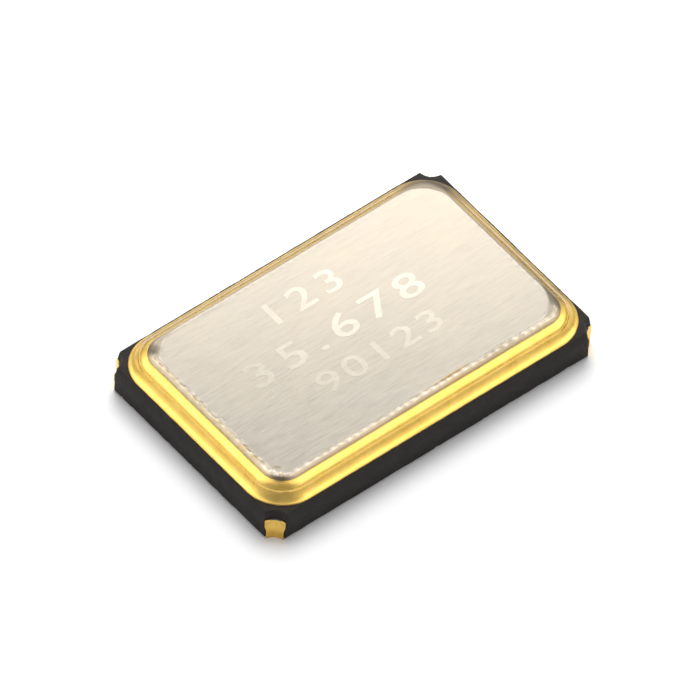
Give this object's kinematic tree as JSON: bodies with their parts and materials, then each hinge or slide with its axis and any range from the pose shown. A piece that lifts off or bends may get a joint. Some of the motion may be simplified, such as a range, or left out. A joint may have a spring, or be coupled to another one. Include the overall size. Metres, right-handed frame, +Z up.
{
  "type": "surface mount quartz crystal",
  "caption": "Flat rectangular crystal package: black ceramic cup with notched, gold plated corners, gold seal ring and a seam welded nickel lid over a glued quartz plate.",
  "frame": {"origin": "middle of the footprint, in the plane that the four terminals solder down on", "axes": "+X along the package, +Y across it, +Z up through the lid; terminal 1 is at -X, -Y"},
  "size_m": [0.005, 0.0032, 0.0007],
  "materials": {
    "black_ceramic": "matte",
    "gold_plating": "satin",
    "nickel_lid": "satin",
    "quartz": "polished",
    "silver_film": "satin",
    "conductive_adhesive": "matte",
    "fired_tungsten": "matte"
  },
  "bodies": {
    "root": {"ceramic_base": "black_ceramic", "seal_band": "gold_plating", "seal_braze": "gold_plating", "seal_ring": "gold_plating", "lid": "nickel_lid", "quartz_plate": "quartz", "electrode_top": "silver_film", "electrode_bottom": "silver_film", "adhesive_near": "conductive_adhesive", "adhesive_far": "conductive_adhesive", "mount_pad_near": "gold_plating", "mount_pad_far": "gold_plating", "signal_trace_1": "fired_tungsten", "signal_trace_3": "fired_tungsten", "ground_via_2": "fired_tungsten", "ground_via_4": "fired_tungsten", "terminal_1": "gold_plating", "terminal_2": "gold_plating", "terminal_3": "gold_plating", "terminal_4": "gold_plating"}
  },
  "joints": []
}
